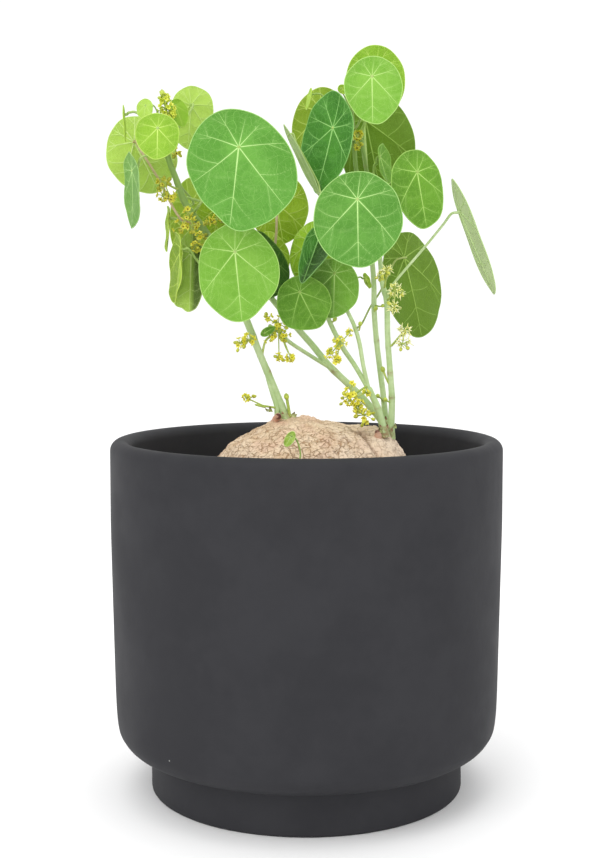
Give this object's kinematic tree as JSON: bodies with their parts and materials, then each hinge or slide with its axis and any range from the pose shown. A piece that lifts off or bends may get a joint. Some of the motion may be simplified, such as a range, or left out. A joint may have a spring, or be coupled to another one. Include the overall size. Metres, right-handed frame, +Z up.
{
  "type": "potted stephania",
  "caption": "Potted stephania: fissured caudex in dark soil, upright glaucous stems, round shield-shaped leaves on thin petioles and small yellow umbels, in a dark ceramic pot",
  "frame": {"origin": "middle of the pot's foot, on the face it stands on", "axes": "+Z up; -Y is the side that the picture shows; +X is the picture's right"},
  "size_m": [0.1502, 0.15, 0.282],
  "materials": {
    "pot": "matt dark ceramic",
    "soil": "crumbly potting soil",
    "caudex": "tan bark in fissured plates",
    "stem": "pale glaucous green stem",
    "leaf": "thin green leaf with pale veins",
    "flower": "yellow florets with orange discs"
  },
  "bodies": {
    "root": {"pot": "pot", "soil": "soil", "caudex": "caudex", "stem_a": "stem", "stem_b": "stem", "stem_c": "stem", "stem_d": "stem", "stem_e": "stem", "leaf_01": "leaf", "leaf_02": "leaf", "leaf_03": "leaf", "leaf_04": "leaf", "leaf_05": "leaf", "leaf_06": "leaf", "leaf_07": "leaf", "leaf_08": "leaf", "leaf_09": "leaf", "leaf_10": "leaf", "leaf_11": "leaf", "leaf_12": "leaf", "leaf_13": "leaf", "leaf_14": "leaf", "leaf_15": "leaf", "leaf_16": "leaf", "leaf_17": "leaf", "leaf_18": "leaf", "leaf_19": "leaf", "leaf_20": "leaf", "leaf_21": "leaf", "leaf_22": "leaf", "leaf_23": "leaf", "leaf_24": "leaf", "leaf_25": "leaf", "leaf_26": "leaf", "leaf_27": "leaf", "leaf_28": "leaf", "leaf_29": "leaf", "leaf_30": "leaf", "leaf_31": "leaf", "leaf_32": "leaf", "leaf_33": "leaf", "leaf_34": "leaf", "leaf_35": "leaf", "leaf_36": "leaf", "leaf_37": "leaf", "flowers_01": "flower", "flowers_02": "flower", "flowers_03": "flower", "flowers_04": "flower", "flowers_05": "flower", "flowers_06": "flower", "flowers_07": "flower", "flowers_08": "flower", "flowers_09": "flower", "flowers_10": "flower", "flowers_11": "flower", "flowers_12": "flower", "flowers_13": "flower", "flowers_14": "flower", "flowers_15": "flower"}
  },
  "joints": []
}
